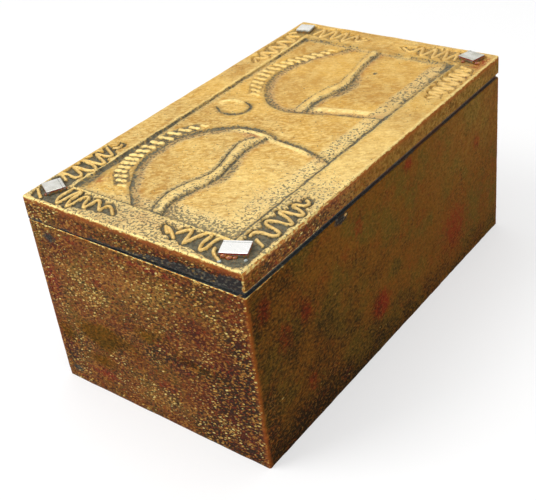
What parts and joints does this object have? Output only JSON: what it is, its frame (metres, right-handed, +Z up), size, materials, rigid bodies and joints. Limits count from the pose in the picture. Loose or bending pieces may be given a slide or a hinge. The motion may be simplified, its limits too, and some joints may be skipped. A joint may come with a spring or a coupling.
{
  "type": "carved wooden box",
  "caption": "Rectangular wooden box with a thick hinged lid carved in low relief, gilded all over, with a mirror chip set in each corner of the lid.",
  "frame": {"origin": "centre of the underside, where the box rests", "axes": "+Z up, +Y along the box's length, +X to the front, away from the hinges"},
  "size_m": [0.1236, 0.21, 0.1009],
  "materials": {
    "gilt_lid": "carved wood under antique gold paint, dark in the hollows and rubbed bright on the relief, satin",
    "aged_gilt_case": "wood under sand-textured dark gold and red-brown paint with bright gold grains, satin",
    "mirror_chip": "hand-cut silvered glass chip",
    "hinge_brass": "aged brass plate",
    "brad_steel": "dull steel wire"
  },
  "bodies": {
    "case": {"bottom_board": "aged_gilt_case", "front_wall": "aged_gilt_case", "rear_wall": "aged_gilt_case", "near_end_wall": "aged_gilt_case", "far_end_wall": "aged_gilt_case", "near_hinge_base_leaf": "hinge_brass", "near_hinge_pin": "hinge_brass", "near_hinge_base_screw_1": "hinge_brass", "near_hinge_base_screw_2": "hinge_brass", "far_hinge_base_leaf": "hinge_brass", "far_hinge_pin": "hinge_brass", "far_hinge_base_screw_1": "hinge_brass", "far_hinge_base_screw_2": "hinge_brass", "bottom_brad_front_1": "brad_steel", "bottom_brad_front_2": "brad_steel", "bottom_brad_front_3": "brad_steel", "bottom_brad_rear_1": "brad_steel", "bottom_brad_rear_2": "brad_steel", "bottom_brad_rear_3": "brad_steel", "bottom_brad_near": "brad_steel", "bottom_brad_far": "brad_steel"},
    "lid": {"lid_board": "gilt_lid", "mirror_tile_near_front": "mirror_chip", "mirror_tile_near_rear": "mirror_chip", "mirror_tile_far_front": "mirror_chip", "mirror_tile_far_rear": "mirror_chip", "near_hinge_lid_leaf": "hinge_brass", "near_hinge_lid_screw_1": "hinge_brass", "near_hinge_lid_screw_2": "hinge_brass", "far_hinge_lid_leaf": "hinge_brass", "far_hinge_lid_screw_1": "hinge_brass", "far_hinge_lid_screw_2": "hinge_brass"}
  },
  "joints": [
    {"name": "lid_hinge", "type": "hinge", "parent": "case", "child": "lid", "pos_m": [-0.0619, 0, 0.08835], "axis": [0, -1, 0], "range_deg": [0, 180]}
  ]
}
